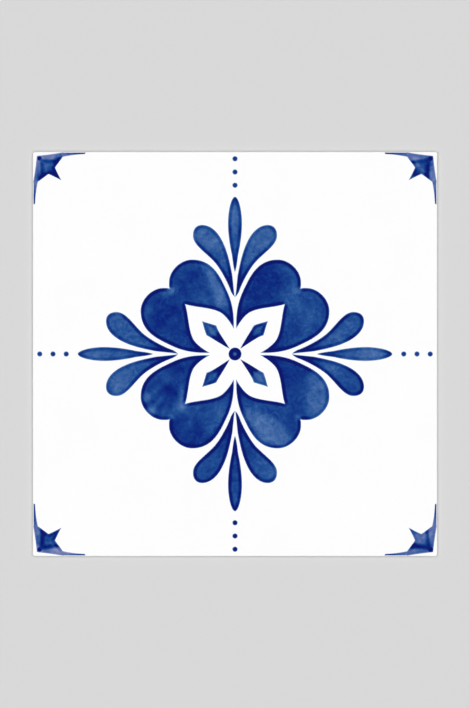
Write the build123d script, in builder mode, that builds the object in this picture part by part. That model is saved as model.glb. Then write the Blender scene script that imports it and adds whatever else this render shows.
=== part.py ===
"""Self-adhesive floor tile: one square of printed vinyl sheet, die-cut to size.

It lies flat with its adhesive side down and its printed face up.
Millimetres, +Z up. The origin is the middle of the adhesive face.
"""

import os

from build123d import *

# Driving dimensions
tile_side = 200.0  # edge to edge, which is also the laying pitch of butted tiles
sheet_thickness = 1.5  # printed face to adhesive face
corner_radius = 1.0  # the blunt corner that the cutting die leaves
eased_edge = 0.3  # the die rolls the rim of the printed face over by this radius

# The sheet: the die's outline pressed through the whole thickness
with BuildPart() as tile:
    with BuildSketch(Plane.XY):
        RectangleRounded(tile_side, tile_side, corner_radius)
    extrude(amount=sheet_thickness)

    # Only the printed face's rim is eased. The adhesive face keeps its sharp arris,
    # so that it beds to the very edge.
    printed_face = tile.faces().sort_by(Axis.Z).last
    fillet(printed_face.edges(), radius=eased_edge)

tile.part.label = "tile"

os.makedirs("parts", exist_ok=True)
export_step(tile.part, "parts/tile.step")
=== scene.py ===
"""Looks of the self-adhesive floor tile: satin white vinyl with a blue watercolour print.

The sheet is the CAD node, dressed in a vinyl finish. The print is a set of thin ink films on its face.
Outlines are in millimetres from the tile's middle, +Y to the top of the picture.
The scene itself is in metres.
"""

import logging
import math
from collections.abc import Iterator, Mapping, Sequence
from contextlib import contextmanager
from dataclasses import dataclass
from enum import Enum

import bpy
import numpy as np
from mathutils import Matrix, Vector, noise
from mathutils.geometry import interpolate_bezier


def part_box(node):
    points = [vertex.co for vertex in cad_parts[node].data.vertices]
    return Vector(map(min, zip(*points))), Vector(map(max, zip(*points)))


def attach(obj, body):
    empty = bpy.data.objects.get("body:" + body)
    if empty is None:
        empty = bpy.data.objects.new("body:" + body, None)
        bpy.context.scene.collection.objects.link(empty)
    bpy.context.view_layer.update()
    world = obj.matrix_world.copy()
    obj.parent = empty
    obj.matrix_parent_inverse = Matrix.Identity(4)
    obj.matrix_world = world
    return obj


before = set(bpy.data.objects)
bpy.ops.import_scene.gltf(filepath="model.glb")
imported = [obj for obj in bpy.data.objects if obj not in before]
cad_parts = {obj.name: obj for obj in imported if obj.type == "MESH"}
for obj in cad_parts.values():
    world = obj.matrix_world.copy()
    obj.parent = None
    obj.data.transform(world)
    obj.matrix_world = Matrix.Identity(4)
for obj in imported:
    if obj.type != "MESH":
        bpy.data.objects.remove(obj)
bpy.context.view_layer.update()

LOG = logging.getLogger("floor_tile")
MM = 0.001
BODY = "root"
PICTURE_WIDTH, PICTURE_HEIGHT = 470, 708

SHEET_LOW, SHEET_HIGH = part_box("tile")
HALF_SIDE = SHEET_HIGH.x / MM  # mm from the tile's middle to its edge
FACE_HEIGHT = SHEET_HIGH.z / MM  # mm from the floor to the printed face
EASED_RIM = 0.3  # mm, the radius that the printed face's rim is rolled over by
PRINT_STOP = 0.08  # mm short of the edge that the print stops, after it has run over the rim

# The two attributes that each ink film carries for its finish
EDGE_ATTRIBUTE = "edge_mm"  # distance from the film's outline
TONE_ATTRIBUTE = "pigment"  # how much pigment the brush left, 0 for pale and 1 for navy

# Sockets of the Mix node, which go by number: what is mixed, and the outcome
COLOUR_A, COLOUR_B, COLOUR_OUT = 6, 7, 2
FLOAT_A, FLOAT_B, FLOAT_OUT = 2, 3, 0

Point = tuple[float, float]
Material = bpy.types.Material
Piece = bpy.types.Object
Socket = bpy.types.NodeSocket
Tree = bpy.types.NodeTree


class Side(Enum):
    """The four sides of the tile, as quarter turns anticlockwise from the top."""

    NORTH = 0
    WEST = 1
    SOUTH = 2
    EAST = 3


class Diagonal(Enum):
    """The four corners of the tile, as quarter turns anticlockwise from the top right."""

    NORTH_EAST = 0
    NORTH_WEST = 1
    SOUTH_WEST = 2
    SOUTH_EAST = 3


def linear(hex_colour: str) -> tuple[float, float, float, float]:
    """Turns an sRGB hex colour into linear RGBA.

    Args:
        hex_colour: A colour such as "#1f468e".

    Returns:
        The linear red, green, blue and an alpha of 1.
    """
    channels = [int(hex_colour[place : place + 2], 16) / 255 for place in (1, 3, 5)]
    straight = [c / 12.92 if c <= 0.04045 else ((c + 0.055) / 1.055) ** 2.4 for c in channels]
    return (*straight, 1.0)


def add_node(
    tree: Tree, kind: str, inputs: Mapping | None = None, **settings: object
) -> bpy.types.Node:
    """Adds a node with its settings, its constants and its links.

    Args:
        tree: The node tree that gets the node.
        kind: The node's type, such as "ShaderNodeMath".
        inputs: For each input's name or index, the socket that feeds it or its constant value.
        **settings: Values of the node's own properties.

    Returns:
        The new node.
    """
    node = tree.nodes.new(kind)
    for name, value in settings.items():
        setattr(node, name, value)
    for name, value in (inputs or {}).items():
        if isinstance(value, Socket):
            tree.links.new(value, node.inputs[name])
        else:
            node.inputs[name].default_value = value
    return node


def bare_material(name: str) -> Material:
    """Makes a material with an empty node tree.

    Args:
        name: The material's name.

    Returns:
        The material.
    """
    material = bpy.data.materials.new(name)
    material.use_nodes = True
    material.node_tree.nodes.clear()
    return material


def ease(start: float, end: float, values: np.ndarray) -> np.ndarray:
    """Rises smoothly from 0 at one value to 1 at another.

    Args:
        start: Where the rise starts.
        end: Where the rise ends, above the start or below it.
        values: The values to look up.

    Returns:
        The eased share at each value.
    """
    share = np.clip((values - start) / (end - start), 0.0, 1.0)
    return share * share * (3.0 - 2.0 * share)


@dataclass(frozen=True)
class Knot:
    """A pen point of an outline, with its two handles as offsets."""

    x: float
    y: float
    arrive: Point = (0.0, 0.0)
    leave: Point = (0.0, 0.0)

    def swapped(self) -> "Knot":
        """Mirrors the knot on the tile's diagonal, for walking the other way."""
        return Knot(self.y, self.x, self.leave[::-1], self.arrive[::-1])

    def flipped(self) -> "Knot":
        """Mirrors the knot on the Y axis, for walking the other way."""
        return Knot(-self.x, self.y, (-self.leave[0], self.leave[1]), (-self.arrive[0], self.arrive[1]))


@dataclass(frozen=True)
class Outline:
    """A closed chain of pen points."""

    knots: tuple[Knot, ...]
    steps: int = 14  # straight runs that each span of the curve is drawn with

    @classmethod
    def circle(cls, x: float, y: float, radius: float) -> "Outline":
        """Draws a circle with four pen points.

        Args:
            x: The centre's X.
            y: The centre's Y.
            radius: The circle's radius.

        Returns:
            The circle's outline.
        """
        pull = radius * 4 / 3 * (math.sqrt(2) - 1)
        ways = ((1, 0), (0, 1), (-1, 0), (0, -1))
        knots = [
            Knot(x + radius * c, y + radius * s, (pull * s, -pull * c), (-pull * s, pull * c))
            for c, s in ways
        ]
        return cls(tuple(knots))

    @classmethod
    def on_diagonal(cls, first: Knot, half: Sequence[Knot], last: Knot) -> "Outline":
        """Closes half an outline, from knot to knot on the tile's diagonal, with its mirror image."""
        return cls((first, *half, last, *(knot.swapped() for knot in reversed(half))))

    @classmethod
    def on_axis(cls, first: Knot, half: Sequence[Knot], last: Knot) -> "Outline":
        """Closes half an outline, from knot to knot on the Y axis, with its mirror image."""
        return cls((first, *half, last, *(knot.flipped() for knot in reversed(half))))

    def points(self) -> np.ndarray:
        """Walks the outline once.

        Returns:
            Its points in order, one row each.
        """
        walk = []
        for here, there in zip(self.knots, self.knots[1:] + self.knots[:1]):
            start, end = Vector((here.x, here.y)), Vector((there.x, there.y))
            span = interpolate_bezier(
                start, start + Vector(here.leave), end + Vector(there.arrive), end, self.steps + 1
            )
            walk += [tuple(point) for point in span[:-1]]
        return np.array(walk)

    def distance(self, spots: np.ndarray) -> np.ndarray:
        """Measures how far spots lie from the outline.

        Args:
            spots: The places to measure, one row each.

        Returns:
            Each spot's distance to the nearest point of the outline.
        """
        start = self.points()
        run = np.roll(start, -1, axis=0) - start
        gap = spots[:, None, :] - start[None, :, :]
        share = np.clip((gap * run).sum(axis=2) / (run * run).sum(axis=1), 0.0, 1.0)
        return np.linalg.norm(gap - share[:, :, None] * run, axis=2).min(axis=1)


@dataclass(frozen=True)
class Fade:
    """Pigment that is full at one reach and has faded out at another, beyond it or short of it."""

    depth: float
    full: float
    gone: float

    def left(self, reach: np.ndarray) -> np.ndarray:
        """Says how much of the depth is left at each reach."""
        return self.depth * (1 - ease(self.full, self.gone, reach))


@dataclass(frozen=True)
class Pool:
    """A place where the brush left more pigment, or less where its depth is below zero."""

    x: float
    y: float
    radius: float
    depth: float
    soft: float = 1.0  # 1 fades all the way from the middle, 0.2 has a crisp rim
    stretch: float = 1.0  # how much longer than wide the pool is
    lean: float = 0.0  # degrees from +X to its long way, anticlockwise

    def stain(self, spots: np.ndarray, stray: np.ndarray) -> np.ndarray:
        """Says what the pool leaves.

        Args:
            spots: The places on the tile, one row each.
            stray: How far wet paint strayed at each spot, as a share of the pool's radius.

        Returns:
            The change of pigment at each spot.
        """
        turn = math.radians(self.lean)
        gap = spots + stray * self.radius - (self.x, self.y)
        along = gap @ (math.cos(turn), math.sin(turn)) / self.stretch
        across = gap @ (-math.sin(turn), math.cos(turn))
        reach = np.hypot(along, across) / self.radius
        return Fade(self.depth, 1 - self.soft, 1 + self.soft).left(reach)


STRAY_SHARE = 0.25  # how far a pool's rim strays, as a share of its radius
STRAY_SPAN = 7.0  # mm from one stray to the next
STRAY_SLICE = 0.5  # the level at which the solid noise is cut for the face


def pooled(pools: Sequence[Pool], spots: np.ndarray) -> np.ndarray:
    """Adds up what pools leave at each spot, with their rims strayed as wet paint does.

    Args:
        pools: The pools that count.
        spots: The places on the tile, one row each.

    Returns:
        The change of pigment at each spot.
    """
    ways = [noise.noise_vector((x / STRAY_SPAN, y / STRAY_SPAN, STRAY_SLICE))[:2] for x, y in spots]
    stray = STRAY_SHARE * np.array(ways)
    return sum((pool.stain(spots, stray) for pool in pools), np.zeros(len(spots)))


@dataclass(frozen=True)
class VinylFinish:
    """Calendered PVC with a satin wear layer: an even white with a soft, slightly broken gloss."""

    white: str = "#f9f9f9"
    cloud_white: str = "#f6f6f6"
    core: str = "#e9e8e4"  # the cut edge shows the filled core
    adhesive: str = "#ded9cb"  # the tacky coat underneath
    adhesive_thick: str = "#d0c9b6"  # the same where it lies thicker
    ior: float = 1.53
    specular: float = 0.3
    gloss_low: float = 0.20
    gloss_high: float = 0.28
    adhesive_gloss: float = 0.25
    peel: float = 0.9  # mm across one bump of the embossed orange peel
    peel_depth: float = 0.006  # mm
    peel_strength: float = 0.6  # share of that depth that the light sees
    peel_octaves: float = 2.0
    peel_fineness: float = 0.4  # how much the finer bumps count
    cloud: float = 30.0  # mm across one patch of uneven white
    cloud_octaves: float = 3.0
    coat: float = 0.01  # mm from the floor up that the tacky coat is seen

    def surface(self, tree: Tree) -> dict[str, Socket]:
        """Adds the wear layer's gloss and emboss, which ink and bare vinyl share.

        Args:
            tree: The material's node tree.

        Returns:
            The millimetre coordinates, roughness and normal sockets by name.
        """
        place = add_node(tree, "ShaderNodeTexCoord")
        millimetres = add_node(
            tree,
            "ShaderNodeVectorMath",
            {0: place.outputs["Object"], "Scale": 1 / MM},
            operation="SCALE",
        ).outputs["Vector"]
        bumps = add_node(
            tree,
            "ShaderNodeTexNoise",
            {
                "Vector": millimetres,
                "Scale": 1 / self.peel,
                "Detail": self.peel_octaves,
                "Roughness": self.peel_fineness,
            },
        )
        normal = add_node(
            tree,
            "ShaderNodeBump",
            {
                "Height": bumps.outputs[0],
                "Strength": self.peel_strength,
                "Distance": self.peel_depth * MM,
            },
        )
        roughness = add_node(
            tree,
            "ShaderNodeMapRange",
            {"Value": bumps.outputs[0], "To Min": self.gloss_low, "To Max": self.gloss_high},
        )
        return {
            "millimetres": millimetres,
            "roughness": roughness.outputs["Result"],
            "normal": normal.outputs["Normal"],
        }

    def seal(self, tree: Tree, colour: Socket, roughness: Socket, normal: Socket) -> None:
        """Lays the clear wear layer over a colour and closes the material.

        Args:
            tree: The material's node tree.
            colour: The colour under the wear layer.
            roughness: The wear layer's roughness.
            normal: The wear layer's emboss.
        """
        shader = add_node(
            tree,
            "ShaderNodeBsdfPrincipled",
            {
                "Base Color": colour,
                "Roughness": roughness,
                "Normal": normal,
                "IOR": self.ior,
                "Specular IOR Level": self.specular,
            },
        )
        add_node(tree, "ShaderNodeOutputMaterial", {"Surface": shader.outputs[0]})

    def material(self) -> Material:
        """Makes the bare vinyl: white face, greyer filled core at the cut edge, tacky underside.

        Returns:
            The material.
        """
        material = bare_material("satin_pvc_vinyl")
        tree = material.node_tree
        shared = self.surface(tree)
        clouds = add_node(
            tree,
            "ShaderNodeTexNoise",
            {"Vector": shared["millimetres"], "Scale": 1 / self.cloud, "Detail": self.cloud_octaves},
        ).outputs[0]
        face = add_node(
            tree,
            "ShaderNodeMix",
            {"Factor": clouds, COLOUR_A: linear(self.cloud_white), COLOUR_B: linear(self.white)},
            data_type="RGBA",
        ).outputs[COLOUR_OUT]
        height = add_node(tree, "ShaderNodeSeparateXYZ", {0: shared["millimetres"]}).outputs["Z"]
        above_core = add_node(
            tree,
            "ShaderNodeMapRange",
            {"Value": height, "From Min": FACE_HEIGHT - EASED_RIM, "From Max": FACE_HEIGHT},
        ).outputs["Result"]
        sheet = add_node(
            tree,
            "ShaderNodeMix",
            {"Factor": above_core, COLOUR_A: linear(self.core), COLOUR_B: face},
            data_type="RGBA",
        ).outputs[COLOUR_OUT]
        coat = add_node(
            tree,
            "ShaderNodeMix",
            {"Factor": clouds, COLOUR_A: linear(self.adhesive_thick), COLOUR_B: linear(self.adhesive)},
            data_type="RGBA",
        ).outputs[COLOUR_OUT]
        underneath = add_node(
            tree, "ShaderNodeMath", {0: height, 1: self.coat}, operation="LESS_THAN"
        ).outputs[0]
        colour = add_node(
            tree,
            "ShaderNodeMix",
            {"Factor": underneath, COLOUR_A: sheet, COLOUR_B: coat},
            data_type="RGBA",
        ).outputs[COLOUR_OUT]
        roughness = add_node(
            tree,
            "ShaderNodeMix",
            {"Factor": underneath, FLOAT_A: shared["roughness"], FLOAT_B: self.adhesive_gloss},
        ).outputs[FLOAT_OUT]
        self.seal(tree, colour, roughness, shared["normal"])
        return material


# The deepest shades, which both inks have: pigment and colour
DEEP_SHADES = ((0.85, "#01257a"), (1.00, "#010f68"))


@dataclass(frozen=True)
class InkFinish:
    """Watercolour blue under the wear layer: clouded, grainy washes that dried with a dark rim."""

    vinyl: VinylFinish
    name: str = "printed_watercolour_ink"
    # A little deeper than they look, because the wear layer's gloss veils them
    shades: tuple[tuple[float, str], ...] = (
        (0.00, "#86a5d8"),
        (0.20, "#5a7fb6"),
        (0.40, "#3c629e"),
        (0.55, "#1d4d91"),
        (0.70, "#0e3984"),
        *DEEP_SHADES,
    )
    # Breaks in the wash: millimetres across one, how twisted it is, how much pigment it adds or takes
    breaks: tuple[tuple[float, float, float], ...] = (
        (12.0, 0.8, 0.10),  # clouds
        (4.5, 1.6, 0.10),  # wisps
        (1.8, 0.6, 0.05),  # mottle
        (0.6, 0.0, 0.04),  # grain of the pigment
    )
    break_octaves: float = 3.0
    break_low: float = 0.25  # nearly all of the noise lies above this
    break_high: float = 0.75  # and below this
    bleed: float = 0.6  # mm that the outline itself fades over
    bleed_pale: float = 0.28  # share of the pigment that is left on the outline
    line_full: float = 0.9  # mm in from the outline that the dried line is at its darkest
    line_end: float = 2.3  # mm in from the outline where it has faded out
    line_weak: float = 0.28  # pigment that the line adds where little paint ran to it
    line_strong: float = 0.56  # and where much did
    line_span: float = 9.0  # mm along the outline from weak to strong
    thin_wash: float = 0.42  # a wash with this little pigment keeps only a share of its line
    full_wash: float = 0.60  # and one with this much keeps it all
    thin_line: float = 0.36  # that share

    def material(self) -> Material:
        """Makes the printed watercolour.

        Returns:
            The material.
        """
        material = bare_material(self.name)
        tree = material.node_tree
        shared = self.vinyl.surface(tree)
        wash = add_node(tree, "ShaderNodeAttribute", attribute_name=TONE_ATTRIBUTE).outputs["Fac"]
        edge = add_node(tree, "ShaderNodeAttribute", attribute_name=EDGE_ATTRIBUTE).outputs["Fac"]
        pigment = self.clouded(tree, shared["millimetres"], wash)
        pigment = self.lined(tree, shared["millimetres"], wash, edge, pigment)
        pigment = self.bled(tree, edge, pigment)
        self.vinyl.seal(tree, self.shaded(tree, pigment), shared["roughness"], shared["normal"])
        return material

    def clouded(self, tree: Tree, place: Socket, wash: Socket) -> Socket:
        """Breaks a wash into clouds, wisps, mottle and grain.

        Args:
            tree: The material's node tree.
            place: The millimetre coordinates.
            wash: The pigment of the wash.

        Returns:
            The pigment with its breaks.
        """
        pigment = wash
        for size, twist, swing in self.breaks:
            shift = self.uneven(tree, place, size, twist, -swing, swing)
            total = add_node(tree, "ShaderNodeMath", {0: pigment, 1: shift}, operation="ADD")
            pigment = total.outputs[0]
        return pigment

    def lined(
        self, tree: Tree, place: Socket, wash: Socket, edge: Socket, pigment: Socket
    ) -> Socket:
        """Adds the dark line that pigment leaves along the outline as it dries.

        Args:
            tree: The material's node tree.
            place: The millimetre coordinates.
            wash: The pigment of the wash, which feeds the line.
            edge: The distance from the outline.
            pigment: The pigment that the line is added to.

        Returns:
            The pigment with its line.
        """
        line = add_node(
            tree,
            "ShaderNodeMapRange",
            {
                "Value": edge,
                "From Min": self.line_full,
                "From Max": self.line_end,
                "To Min": 1.0,
                "To Max": 0.0,
            },
            interpolation_type="SMOOTHSTEP",
        ).outputs["Result"]
        fullness = add_node(
            tree,
            "ShaderNodeMapRange",
            {
                "Value": wash,
                "From Min": self.thin_wash,
                "From Max": self.full_wash,
                "To Min": self.thin_line,
            },
        ).outputs["Result"]
        flow = self.uneven(tree, place, self.line_span, 0.0, self.line_weak, self.line_strong)
        gain = add_node(tree, "ShaderNodeMath", {0: flow, 1: fullness}, operation="MULTIPLY").outputs[0]
        return add_node(
            tree, "ShaderNodeMath", {0: line, 1: gain, 2: pigment}, operation="MULTIPLY_ADD"
        ).outputs[0]

    def bled(self, tree: Tree, edge: Socket, pigment: Socket) -> Socket:
        """Thins the pigment right at the outline, where it bled a little.

        Args:
            tree: The material's node tree.
            edge: The distance from the outline.
            pigment: The pigment before it bled.

        Returns:
            The pigment that is left.
        """
        share = add_node(
            tree,
            "ShaderNodeMapRange",
            {"Value": edge, "From Max": self.bleed, "To Min": self.bleed_pale, "To Max": 1.0},
        ).outputs["Result"]
        return add_node(tree, "ShaderNodeMath", {0: pigment, 1: share}, operation="MULTIPLY").outputs[0]

    def shaded(self, tree: Tree, pigment: Socket) -> Socket:
        """Turns pigment into colour.

        Args:
            tree: The material's node tree.
            pigment: How much pigment there is.

        Returns:
            The colour.
        """
        ramp = add_node(tree, "ShaderNodeValToRGB", {"Fac": pigment})
        stops = ramp.color_ramp.elements
        palest, *between, deepest = self.shades
        for stop, (position, shade) in zip((stops[0], stops[1]), (palest, deepest)):
            stop.position = position
            stop.color = linear(shade)
        for position, shade in between:
            stops.new(position).color = linear(shade)
        return ramp.outputs["Color"]

    def uneven(
        self, tree: Tree, place: Socket, size: float, twist: float, low: float, high: float
    ) -> Socket:
        """Adds a value that drifts between two levels over the tile.

        Args:
            tree: The material's node tree.
            place: The millimetre coordinates.
            size: Millimetres across one drift.
            twist: How twisted the drifts are.
            low: The lowest level.
            high: The highest level.

        Returns:
            The value's socket.
        """
        drift = add_node(
            tree,
            "ShaderNodeTexNoise",
            {"Vector": place, "Scale": 1 / size, "Detail": self.break_octaves, "Distortion": twist},
        )
        return add_node(
            tree,
            "ShaderNodeMapRange",
            {
                "Value": drift.outputs[0],
                "From Min": self.break_low,
                "From Max": self.break_high,
                "To Min": low,
                "To Max": high,
            },
        ).outputs["Result"]


@dataclass(frozen=True)
class StarInkFinish(InkFinish):
    """The corner stars' watercolour: the same ink, which looks a little violet where it is thin."""

    name: str = "printed_watercolour_violet_ink"
    shades: tuple[tuple[float, str], ...] = (
        (0.00, "#9ca4cf"),
        (0.20, "#757fb0"),
        (0.40, "#4a64a1"),
        (0.55, "#1f4d91"),
        (0.70, "#083984"),
        *DEEP_SHADES,
    )


def select_only(piece: Piece) -> None:
    """Leaves one object selected and active."""
    bpy.ops.object.select_all(action="DESELECT")
    piece.select_set(True)
    bpy.context.view_layer.objects.active = piece


@contextmanager
def editing() -> Iterator[None]:
    """Opens the active object in edit mode with all of it selected, and closes it afterwards.

    Yields:
        Nothing, while the object is open.
    """
    bpy.ops.object.mode_set(mode="EDIT")
    bpy.ops.mesh.select_all(action="SELECT")
    yield
    bpy.ops.object.mode_set(mode="OBJECT")


# One flood of paint lies across the bottom of the medallion, over several motifs
BOTTOM_FLOOD = Pool(-7, -56, 20, 0.20, soft=0.6)


@dataclass
class PrintedMotif:
    """What the print's motifs share: a film of ink cut to an outline, its copies and their pigment."""

    film_sunk: float = 0.02  # mm of the film inside the sheet
    film_proud: float = 0.03  # mm of the film above the face
    film_weld: float = 0.004  # mm within which two points of the film are one
    film_sliver: float = 0.002  # mm, below which an edge of the film is taken out
    cutter_reach: float = 1.0  # mm that the cutter goes above the face and below it
    cutter_weld: float = 0.001  # mm within which two points of the cutter are one
    pools: tuple[Pool, ...] = ()  # where the washes pooled or thinned as they dried
    common: tuple[Pool, ...] = ()  # the same on every copy, drawn between the top and the top right

    def stencil(self, outline: Outline) -> Piece:
        """Draws an outline with the pen and thickens it into a cutter.

        Args:
            outline: The shape to cut.

        Returns:
            The cutter, a closed prism through the printed face, in mm.
        """
        curve = bpy.data.curves.new("stencil", "CURVE")
        curve.dimensions = "2D"
        curve.fill_mode = "BOTH"
        curve.extrude = self.cutter_reach
        curve.resolution_u = outline.steps
        spline = curve.splines.new("BEZIER")
        spline.use_cyclic_u = True
        spline.bezier_points.add(len(outline.knots) - 1)
        for point, knot in zip(spline.bezier_points, outline.knots):
            point.handle_left_type = point.handle_right_type = "FREE"
            point.co = (knot.x, knot.y, 0.0)
            point.handle_left = (knot.x + knot.arrive[0], knot.y + knot.arrive[1], 0.0)
            point.handle_right = (knot.x + knot.leave[0], knot.y + knot.leave[1], 0.0)
        cutter = bpy.data.objects.new("stencil", curve)
        bpy.context.scene.collection.objects.link(cutter)
        cutter.location.z = FACE_HEIGHT
        select_only(cutter)
        bpy.ops.object.convert(target="MESH")
        bpy.ops.object.transform_apply()
        with editing():
            bpy.ops.mesh.remove_doubles(threshold=self.cutter_weld)
            bpy.ops.mesh.normals_make_consistent(inside=False)
        return bpy.context.active_object

    def film(self, outline: Outline, cell: float) -> Piece:
        """Cuts a film of ink to an outline.

        Args:
            outline: The motif's outline.
            cell: Spacing in mm of the film's inner points, which carry the pigment.

        Returns:
            The film in mm, with its distance-from-edge attribute.
        """
        cutter = self.stencil(outline)
        walk = outline.points()
        sheet_end = HALF_SIDE - PRINT_STOP
        low = np.clip(walk.min(axis=0) - cell, -sheet_end, sheet_end)
        high = np.clip(walk.max(axis=0) + cell, -sheet_end, sheet_end)
        middle, span = (low + high) / 2, high - low
        bottom = FACE_HEIGHT - self.film_sunk
        bpy.ops.object.select_all(action="DESELECT")
        bpy.ops.mesh.primitive_grid_add(
            x_subdivisions=math.ceil(span[0] / cell),
            y_subdivisions=math.ceil(span[1] / cell),
            size=1.0,
            location=(*middle, bottom),
        )
        film = bpy.context.active_object
        film.scale = (*span, 1.0)
        bpy.ops.object.transform_apply()
        with editing():
            bpy.ops.mesh.extrude_region_move(
                TRANSFORM_OT_translate={"value": (0.0, 0.0, self.film_sunk + self.film_proud)}
            )
            bpy.ops.mesh.select_all(action="SELECT")
            bpy.ops.mesh.normals_make_consistent(inside=False)
        cut = film.modifiers.new("cut", "BOOLEAN")
        cut.operation = "INTERSECT"
        cut.solver = "EXACT"
        cut.object = cutter
        bpy.ops.object.modifier_apply(modifier=cut.name)
        bpy.data.objects.remove(cutter)
        with editing():
            bpy.ops.mesh.remove_doubles(threshold=self.film_weld)
            bpy.ops.mesh.dissolve_degenerate(threshold=self.film_sliver)
        spots = self.spots(film)
        edge = film.data.attributes.new(EDGE_ATTRIBUTE, "FLOAT", "POINT")
        edge.data.foreach_set("value", outline.distance(spots).astype(np.float32))
        # Where the sheet's rim rolls over, the film follows it down
        past_flat = np.maximum(np.abs(spots).max(axis=1) - (HALF_SIDE - EASED_RIM), 0.0)
        drops = EASED_RIM - np.sqrt(EASED_RIM**2 - past_flat**2)
        for vertex, drop in zip(film.data.vertices, drops):
            vertex.co.z -= drop
        return film

    @staticmethod
    def spots(film: Piece) -> np.ndarray:
        """Reads where a film's points lie on the tile.

        Args:
            film: A film in mm.

        Returns:
            X and Y of each point, one row each.
        """
        places = np.empty(len(film.data.vertices) * 3)
        film.data.vertices.foreach_get("co", places)
        return places.reshape(-1, 3)[:, :2]

    def tone(self, spots: np.ndarray) -> np.ndarray:
        """Says how much pigment the brush left at each spot.

        Args:
            spots: The places on the tile, one row each.

        Returns:
            The pigment, from 0 for pale to 1 for navy.
        """
        raise NotImplementedError

    def print_copy(
        self, master: Piece, name: str, turns: int, ink: Material, mirror: bool = False
    ) -> None:
        """Copies a film to its place, gives it pigment and ink, and fixes it to the tile.

        Args:
            master: The film that is copied, in mm.
            name: The new piece's name.
            turns: Quarter turns anticlockwise about the tile's middle.
            ink: The ink's material.
            mirror: Whether the copy is mirrored on the Y axis before it is turned.
        """
        piece = master.copy()
        piece.data = master.data.copy()
        piece.name = piece.data.name = name
        bpy.context.scene.collection.objects.link(piece)
        select_only(piece)
        if mirror:
            piece.scale.x = -1.0
            bpy.ops.object.transform_apply()
            with editing():
                bpy.ops.mesh.normals_make_consistent(inside=False)
        piece.rotation_euler.z = turns * math.pi / 2
        bpy.ops.object.transform_apply()
        spots = self.spots(piece)
        pigment = self.tone(spots) + pooled(self.pools, spots)
        pigment += pooled(self.common, np.sort(np.abs(spots), axis=1))
        tone = piece.data.attributes.new(TONE_ATTRIBUTE, "FLOAT", "POINT")
        tone.data.foreach_set("value", pigment.astype(np.float32))
        piece.scale = (MM, MM, MM)
        bpy.ops.object.transform_apply()
        piece.data.materials.clear()
        piece.data.materials.append(ink)
        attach(piece, BODY)
        LOG.info("%s: %d faces of ink", name, len(piece.data.polygons))

    def print_round(self, master: Piece, stem: str, places: type[Enum], ink: Material) -> None:
        """Prints a film on each side or in each corner, and takes the film itself away.

        Args:
            master: The film that is copied, in mm.
            stem: What the copies' names start with.
            places: The sides or the corners.
            ink: The ink's material.
        """
        for place in places:
            self.print_copy(master, f"{stem}_{place.name.lower()}", place.value, ink)
        bpy.data.objects.remove(master)


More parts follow.
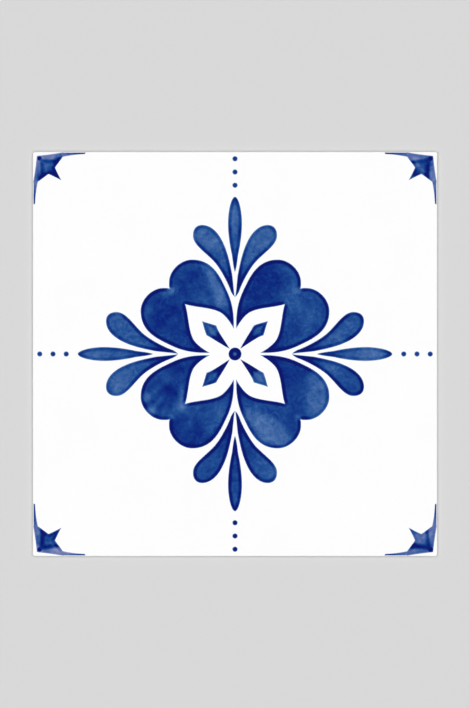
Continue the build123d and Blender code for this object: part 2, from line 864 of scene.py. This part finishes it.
@dataclass
class HeartWreath(PrintedMotif):
    """The four two-lobed hearts round the flower, which is the white that they leave bare."""

    cell: float = 0.8
    wash: float = 0.62
    tail_wash: Fade = Fade(0.20, 18.0, 27.0)  # what the tails have more than the rest
    notch: Knot = Knot(32.4, 32.4, (1.1, 0.3), (0.3, 1.1))
    half: tuple[Knot, ...] = (
        Knot(32.65, 35.6, (0.0, -1.2), (0.0, 5.4)),  # lobe, outermost
        Knot(21.2, 46.7, (6.0, 0.0), (-7.9, 0.0)),  # lobe, top
        Knot(5.9, 35.2, (3.3, 6.6), (-2.5, -5.3)),  # flank
        Knot(0.6, 12.5, (-0.4, 12.4), (1.2, 2.4)),  # tail's tip, beside the axis
        Knot(7.4, 20.65, (-2.9, -1.6), (4.6, 2.45)),  # shoulder of the petal
    )
    petal_tip: Knot = Knot(24.6, 24.6, (-5.6, -1.75), (-1.75, -5.6))
    pools: tuple[Pool, ...] = (
        # North-east: dark top lobe, lighter right lobe
        Pool(13, 35, 11, 0.15, soft=0.3),
        Pool(21, 45, 1.6, 0.14, stretch=5.0),
        Pool(7, 26, 4, 0.12, stretch=2.5, lean=65),
        Pool(28, 30, 4, -0.10),
        Pool(25, 8, 6, 0.10),
        # North-west: dark left lobe, a pale band down the right flank
        Pool(-34, 19, 11, 0.20, soft=0.7),
        Pool(-23, 35, 7, 0.12, soft=0.4),
        Pool(-8.9, 31.8, 2.8, -0.28, soft=0.8, stretch=4.8, lean=-67),
        Pool(-33, 30.5, 2, -0.22, stretch=1.8, lean=20),
        Pool(-43.5, 21, 1.5, -0.12, stretch=3.0, lean=90),
        # South-west: slanting streaks in the left lobe, a pale patch at the petal's tip
        # and a dark bottom lobe
        Pool(-39, -20, 8, 0.17, soft=0.5),
        Pool(-44, -21.5, 2.2, -0.36),
        Pool(-39, -17.5, 1.4, -0.16, stretch=3.0, lean=42),
        Pool(-41, -27.5, 2.2, -0.42),
        Pool(-37.5, -23, 1.3, -0.22, stretch=2.6, lean=50),
        Pool(-35, -28, 1.4, -0.22, stretch=1.6, lean=60),
        Pool(-30, -17.5, 3.6, 0.26),
        Pool(-28, -8, 4, 0.20),
        Pool(-26.6, -19.5, 1.2, -0.26, stretch=2.5, lean=85),
        Pool(-27.5, -27, 3.4, -0.20, soft=0.7, stretch=1.4, lean=45),
        Pool(-25, -37, 8.5, 0.15, soft=0.25),
        Pool(-22, -33, 1.8, -0.16, stretch=1.8, lean=100),
        Pool(-11, -32, 5, -0.08, soft=0.4, stretch=1.6, lean=65),
        # South-east: a pale right lobe and a pale bottom lobe, both with a crisp rim
        Pool(46, -20, 10.5, -0.17, soft=0.12, stretch=2.2, lean=90),
        Pool(15.6, -37.4, 7.5, -0.21, soft=0.25, stretch=1.85, lean=-33),
        Pool(29, -25, 5.5, 0.06),
        Pool(28.5, -36.5, 3, 0.11),
        Pool(26, -9, 9, 0.12),
        BOTTOM_FLOOD,
    )
    common: tuple[Pool, ...] = (
        # The line breaks off at the petal's tip and in the notch
        Pool(25.3, 25.3, 1.4, -0.22),
        Pool(31.7, 31.7, 1.4, -0.26),
    )

    def tone(self, spots: np.ndarray) -> np.ndarray:
        """An even wash, darker in the tails, which the pools vary."""
        reach = np.abs(spots).max(axis=1)
        return self.wash + self.tail_wash.left(reach)

    def build(self, ink: Material) -> None:
        """Prints the four hearts with an ink."""
        outline = Outline.on_diagonal(self.notch, self.half, self.petal_tip)
        self.print_round(self.film(outline, self.cell), "heart", Diagonal, ink)


@dataclass
class FlowerHeart(PrintedMotif):
    """The flower's middle: a ringed dot and a kite in each white petal."""

    cell: float = 0.5
    dot_radius: float = 3.2
    dot_clear: float = 0.5  # mm round the dot that are still the dot's
    eye_pale: Fade = Fade(0.6, 0.3, 1.5)  # what the dot's middle has less than navy
    wash: float = 0.45
    root_wash: Fade = Fade(0.55, 10.5, 15.0)  # what the kites' roots have more than the rest
    kite: tuple[Knot, ...] = (
        Knot(2.6, 2.6, (2.1, 1.2), (0.9, 2.2)),  # root
        Knot(9.25, 14.05, (-1.5, -2.8), (1.5, 0.8)),  # left corner
        Knot(16.3, 16.3, (-2.0, -0.6), (-0.8, -2.0)),  # tip
        Knot(14.05, 9.25, (0.6, 1.6), (-2.8, -0.65)),  # right corner, with a slimmer flank
    )
    pools: tuple[Pool, ...] = (
        Pool(12, 12, 4, 0.14),
        Pool(-12, -12, 4, 0.08),
        Pool(12, -12, 4, -0.06),
    )

    def tone(self, spots: np.ndarray) -> np.ndarray:
        """Navy ring and pale eye in the dot, dark roots in the kites.

        Args:
            spots: The places on the tile, one row each.

        Returns:
            The pigment at each spot.
        """
        reach = np.hypot(spots[:, 0], spots[:, 1])
        eye = 1.0 - self.eye_pale.left(reach)
        kite = self.wash + self.root_wash.left(reach)
        return np.where(reach < self.dot_radius + self.dot_clear, eye, kite)

    def build(self, ink: Material) -> None:
        """Prints the dot and the four kites.

        Args:
            ink: The ink's material.
        """
        dot = self.film(Outline.circle(0.0, 0.0, self.dot_radius), self.cell)
        self.print_copy(dot, "flower_eye", 0, ink)
        bpy.data.objects.remove(dot)
        self.print_round(self.film(Outline(self.kite), self.cell), "kite", Diagonal, ink)


@dataclass
class Spindles(PrintedMotif):
    """The slim bud on each side of the wreath, on the tile's axis."""

    cell: float = 0.7
    wash: float = 0.44
    root_wash: Fade = Fade(0.12, 46.0, 56.0)  # what the root has more than the rest
    tip_wash: Fade = Fade(0.11, 77.0, 71.0)  # what the tip has more than the rest
    root: Knot = Knot(0.0, 40.5, (-1.1, 2.8), (1.1, 2.8))
    half: tuple[Knot, ...] = (
        Knot(1.8, 50.2, (-0.6, -2.4), (0.95, 4.4)),  # waist
        Knot(3.45, 64.6, (0.0, -4.6), (0.0, 7.0)),  # belly
    )
    tip: Knot = Knot(0.0, 77.8, (1.7, 0.0), (-1.7, 0.0))
    pools: tuple[Pool, ...] = (
        Pool(0, 66, 6, 0.06),
        Pool(66, 0, 5, -0.14),
        BOTTOM_FLOOD,
    )
    common: tuple[Pool, ...] = (Pool(0, 61, 3.5, 0.07),)  # fuller in the belly

    def tone(self, spots: np.ndarray) -> np.ndarray:
        """A dark root and a dark tip."""
        reach = np.abs(spots).max(axis=1)
        return self.wash + self.root_wash.left(reach) + self.tip_wash.left(reach)

    def build(self, ink: Material) -> None:
        """Prints the four spindles with an ink."""
        outline = Outline.on_axis(self.root, self.half, self.tip)
        self.print_round(self.film(outline, self.cell), "spindle", Side, ink)


@dataclass
class LeafPairs(PrintedMotif):
    """The two round-ended leaves beside each spindle."""

    cell: float = 0.7
    wash: float = 0.44
    neck_wash: Fade = Fade(0.10, 42.0, 56.0)  # what the neck has more than the round end
    root_wash: Fade = Fade(0.17, 37.0, 44.0)  # what the tail has more than the neck
    knots: tuple[Knot, ...] = (
        Knot(0.1, 28.2, (0.4, 2.0), (0.8, 0.6)),  # tail's tip, which meets its twin's
        Knot(2.08, 31.0, (-0.5, -1.0), (1.05, 3.3)),  # outer side of the tip
        Knot(11.0, 46.4, (-3.8, -3.8), (4.65, 4.65)),  # outer flank
        Knot(20.8, 58.6, (0.0, -4.4), (0.0, 3.4)),  # round end, outermost
        Knot(16.2, 63.85, (2.9, 0.0), (-5.15, 0.0)),  # round end, top
        Knot(5.5, 54.25, (1.9, 4.6), (-2.15, -4.6)),  # inner flank
        Knot(1.3, 38.9, (0.75, 4.0), (-0.4, -3.6)),  # inner side of the tail
    )
    pools: tuple[Pool, ...] = (
        Pool(58, 14, 8, 0.14, soft=0.5),
        Pool(58, -14, 8, 0.17, soft=0.5),
        Pool(-58, 14, 9, 0.05),
        Pool(-58, -14, 9, -0.06),
        BOTTOM_FLOOD,
    )
    common: tuple[Pool, ...] = (
        # A dark line along the outer flank and round the top, a faint one between them
        Pool(15.0, 50.6, 1.6, 0.10, stretch=4.5, lean=43),
        Pool(20.4, 57.2, 1.6, -0.09, stretch=1.4, lean=90),
        Pool(18.2, 62.2, 1.6, 0.05, stretch=1.8, lean=145),
    )

    def tone(self, spots: np.ndarray) -> np.ndarray:
        """An even wash with a deeper neck and a dark tail."""
        reach = np.abs(spots).max(axis=1)
        return self.wash + self.neck_wash.left(reach) + self.root_wash.left(reach)

    def build(self, ink: Material) -> None:
        """Prints the four pairs.

        Args:
            ink: The ink's material.
        """
        master = self.film(Outline(self.knots), self.cell)
        for side in Side:
            name = side.name.lower()
            self.print_copy(master, f"leaf_{name}_right", side.value, ink)
            self.print_copy(master, f"leaf_{name}_left", side.value, ink, mirror=True)
        bpy.data.objects.remove(master)


@dataclass
class DotRow(PrintedMotif):
    """The three dots that run from each spindle to the tile's edge."""

    cell: float = 0.5
    radius: float = 1.28
    first: float = 83.5  # from the tile's middle to the first dot
    pitch: float = 6.55
    count: int = 3
    wash: float = 0.49
    pools: tuple[Pool, ...] = (Pool(0, -90, 9, 0.08, soft=0.5),)

    def tone(self, spots: np.ndarray) -> np.ndarray:
        """A light touch of the brush."""
        return np.full(len(spots), self.wash)

    def build(self, ink: Material) -> None:
        """Prints the four rows, each as one piece.

        Args:
            ink: The ink's material.
        """
        dots = [
            self.film(Outline.circle(0.0, self.first + self.pitch * number, self.radius), self.cell)
            for number in range(self.count)
        ]
        bpy.ops.object.select_all(action="DESELECT")
        for dot in dots:
            dot.select_set(True)
        bpy.context.view_layer.objects.active = dots[0]
        bpy.ops.object.join()
        self.print_round(bpy.context.active_object, "dots", Side, ink)


@dataclass
class CornerStar(PrintedMotif):
    """The quarter of a compass star in each corner, with its pale rays along the two edges."""

    cell: float = 0.4
    # Pigment from the edge inwards: pale ray, dark fold where the ray meets the star, lighter star
    wash_depths: tuple[float, ...] = (1.5, 3.3, 4.4, 5.0, 6.4)  # mm in from the nearer edge
    washes: tuple[float, ...] = (0.26, 0.36, 0.84, 0.84, 0.56)
    fold_slant: float = 0.1  # mm that the fold drifts inwards for each mm along the edge
    fold_level: float = 9.0  # mm along the edge where the depths above hold
    ray_tip_wash: Fade = Fade(0.32, 25.0, 15.0)  # what a ray gains towards its tip, along the edge
    dot_place: float = 3.2  # mm in from both edges to the dark dot
    dot_wash: Fade = Fade(1.0, 0.8, 1.6)  # the navy dot, from its middle out
    heel: Knot = Knot(2.0, 2.0)
    half: tuple[Knot, ...] = (
        Knot(2.5, 1.9, (-0.3, 0.1), (4.0, -0.4)),  # inner end of the bare sliver
        Knot(15.2, 0.1, (-3.4, 0.7), (1.5, -0.3)),  # the sliver runs out at the edge
        Knot(25.5, -1.1, (-3.0, 0.0), (0.6, 0.0)),  # ray's tip, beyond the edge
        Knot(25.5, 1.1, (0.6, 0.0), (-3.4, 0.1)),  # ray's tip, inner side
        Knot(14.8, 2.45, (3.3, -0.75), (-0.45, 0.85)),  # root of the ray
        Knot(11.0, 7.8, (0.6, -1.2), (0.35, 1.0)),  # notch of the star
    )
    tip: Knot = Knot(14.1, 14.1, (-1.1, -1.9), (-1.9, -1.1))
    pools: tuple[Pool, ...] = (
        # North-east
        Pool(90, 93, 1.3, -0.15),
        Pool(93, 90, 1.3, -0.15),
        Pool(95.3, 91, 1.2, 0.22, stretch=4.0, lean=90),
        Pool(88.5, 95.3, 2, -0.28),
        Pool(87, 87, 1.6, -0.10),
        # North-west
        Pool(-95, 95, 4.5, -0.14),
        Pool(-96.8, 96.8, 1.6, -0.26),
        Pool(-91, 98, 1.5, -0.12, stretch=2.0),
        Pool(-89, 89, 3.2, 0.30),
        Pool(-87.5, 95.7, 1.8, 0.46),
        Pool(-95.7, 87.5, 1.8, 0.46),
        # South-west
        Pool(-95.3, -91, 1.2, 0.18, stretch=4.0, lean=90),
        Pool(-93, -95.3, 1.0, 0.12, stretch=3.0),
        Pool(-84, -97.5, 2.5, -0.28, stretch=2.0),
        Pool(-88.3, -94.8, 2, -0.20),
        Pool(-96.8, -96.8, 1.6, -0.32),
        # South-east
        Pool(91, -91, 4, -0.20, soft=0.6),
        Pool(91, -95.3, 1.2, 0.22, stretch=4.0),
        Pool(94.8, -88.3, 2, -0.22),
        Pool(88.5, -88.5, 2, -0.05),
    )
    common: tuple[Pool, ...] = (Pool(90.2, 92.8, 1.3, -0.08),)  # thinner in the notches

    def from_corner(self, knot: Knot) -> Knot:
        """Places a knot that is measured from the tile's corner."""
        arrive, leave = ((-x, -y) for x, y in (knot.arrive, knot.leave))
        return Knot(HALF_SIDE - knot.x, HALF_SIDE - knot.y, arrive, leave)

    def tone(self, spots: np.ndarray) -> np.ndarray:
        """Pale rays, a dark fold beside each, a lighter star and a navy dot.

        Args:
            spots: The places on the tile, one row each.

        Returns:
            The pigment at each spot.
        """
        inset = HALF_SIDE - np.abs(spots)
        depth, along = inset.min(axis=1), inset.max(axis=1)
        drift = self.fold_slant * (along - self.fold_level)
        wash = np.interp(depth - drift, self.wash_depths, self.washes)
        wash += self.ray_tip_wash.left(along)
        from_dot = np.hypot(*(inset - self.dot_place).T)
        return np.maximum(wash, self.dot_wash.left(from_dot))

    def build(self, ink: Material) -> None:
        """Prints the four corner stars.

        Args:
            ink: The ink's material.
        """
        half = [self.from_corner(knot) for knot in self.half]
        outline = Outline.on_diagonal(self.from_corner(self.heel), half, self.from_corner(self.tip))
        self.print_round(self.film(outline, self.cell), "corner_star", Diagonal, ink)


@dataclass
class VinylSheet:
    """The die-cut sheet itself, which is the CAD node."""

    node: str = "tile"

    def dress(self, vinyl: Material) -> None:
        """Gives the sheet its finish.

        Args:
            vinyl: The vinyl's material.
        """
        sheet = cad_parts[self.node]
        for slot in sheet.material_slots:
            slot.material = vinyl
        LOG.info("%s: dressed in %s", self.node, vinyl.name)


@dataclass
class Studio:
    """A pale matt floor, four soft lamps far off and a camera straight above."""

    floor_grey: str = "#d1d1d1"
    floor_side: float = 40.0  # m
    floor_roughness: float = 0.9
    floor_specular: float = 0.1
    room_colour: str = "#ffffff"
    room_light: float = 0.06  # dim overhead, where the face would mirror it into the camera
    horizon_light: float = 0.66  # as pale as the floor, so that the line where they meet is faint
    horizon_low: float = 0.06  # the sine of the height where the horizon's light starts to fade
    horizon_high: float = 0.16  # the sine of the height where it has faded to the room's light
    lamp_power: float = 1.04  # W/m2
    lamp_height: float = 50.0  # degrees above the floor
    lamp_turn: float = 22.5  # degrees off the sides, so that no view along one mirrors a lamp
    lamp_width: float = 25.0  # degrees across as the tile sees it, which makes it soft
    lens: float = 110.0  # mm
    sensor: float = 36.0  # mm, along the picture's taller side
    tile_share: float = 0.86  # of the picture's width

    def build(self) -> None:
        """Sets the floor, the light and the camera."""
        scene = bpy.context.scene
        scene.view_settings.view_transform = "Standard"
        self.lay_floor()
        self.light_room()
        for side in Side:
            self.hang_lamp(side)
        self.set_camera()

    def lay_floor(self) -> None:
        """Lays the floor at the height that the tile lies on."""
        bpy.ops.object.select_all(action="DESELECT")
        bpy.ops.mesh.primitive_plane_add(size=self.floor_side, location=(0.0, 0.0, SHEET_LOW.z))
        floor = bpy.context.active_object
        floor.name = "floor"
        bpy.ops.object.transform_apply()
        material = bpy.data.materials.new("matt_painted_board")
        material.use_nodes = True
        shader = material.node_tree.nodes["Principled BSDF"]
        shader.inputs["Base Color"].default_value = linear(self.floor_grey)
        shader.inputs["Roughness"].default_value = self.floor_roughness
        shader.inputs["Specular IOR Level"].default_value = self.floor_specular
        floor.data.materials.append(material)

    def light_room(self) -> None:
        """Fills the room with a dim even light that grows as pale as the floor at the horizon."""
        world = bpy.data.worlds.new("room")
        world.use_nodes = True
        tree = world.node_tree
        tree.nodes.clear()
        gaze = add_node(tree, "ShaderNodeTexCoord")
        height = add_node(tree, "ShaderNodeSeparateXYZ", {0: gaze.outputs["Generated"]})
        strength = add_node(
            tree,
            "ShaderNodeMapRange",
            {
                "Value": height.outputs["Z"],
                "From Min": self.horizon_low,
                "From Max": self.horizon_high,
                "To Min": self.horizon_light,
                "To Max": self.room_light,
            },
            interpolation_type="SMOOTHSTEP",
        )
        background = add_node(
            tree,
            "ShaderNodeBackground",
            {"Color": linear(self.room_colour), "Strength": strength.outputs["Result"]},
        )
        add_node(tree, "ShaderNodeOutputWorld", {"Surface": background.outputs[0]})
        bpy.context.scene.world = world

    def hang_lamp(self, side: Side) -> None:
        """Hangs one soft lamp, turned to the tile.

        Args:
            side: The side of the tile that it shines from, before all four are turned a little.
        """
        light = bpy.data.lights.new(f"soft_lamp_{side.name.lower()}", "SUN")
        light.energy = self.lamp_power
        light.angle = math.radians(self.lamp_width)
        lamp = bpy.data.objects.new(light.name, light)
        tilt = math.radians(90.0 - self.lamp_height)
        lamp.rotation_euler = (tilt, 0.0, side.value * math.pi / 2 + math.radians(self.lamp_turn))
        bpy.context.scene.collection.objects.link(lamp)

    def set_camera(self) -> None:
        """Looks straight down, with the tile's top edge to the top of the picture."""
        camera = bpy.data.cameras.new("camera")
        camera.lens = self.lens
        camera.sensor_width = self.sensor
        seen_width = 2 * HALF_SIDE * MM / self.tile_share
        sensor_across = self.sensor * PICTURE_WIDTH / PICTURE_HEIGHT
        stand = bpy.data.objects.new("camera", camera)
        stand.location = (0.0, 0.0, SHEET_HIGH.z + seen_width * self.lens / sensor_across)
        bpy.context.scene.collection.objects.link(stand)
        bpy.context.scene.camera = stand


def main() -> None:
    """Dresses the sheet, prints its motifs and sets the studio."""
    logging.basicConfig(level=logging.INFO, format="%(message)s")
    vinyl = VinylFinish()
    ink = InkFinish(vinyl).material()
    VinylSheet().dress(vinyl.material())
    for motif in (HeartWreath(), FlowerHeart(), Spindles(), LeafPairs(), DotRow()):
        motif.build(ink)
    CornerStar().build(StarInkFinish(vinyl).material())
    Studio().build()


if __name__ == "__main__":
    main()
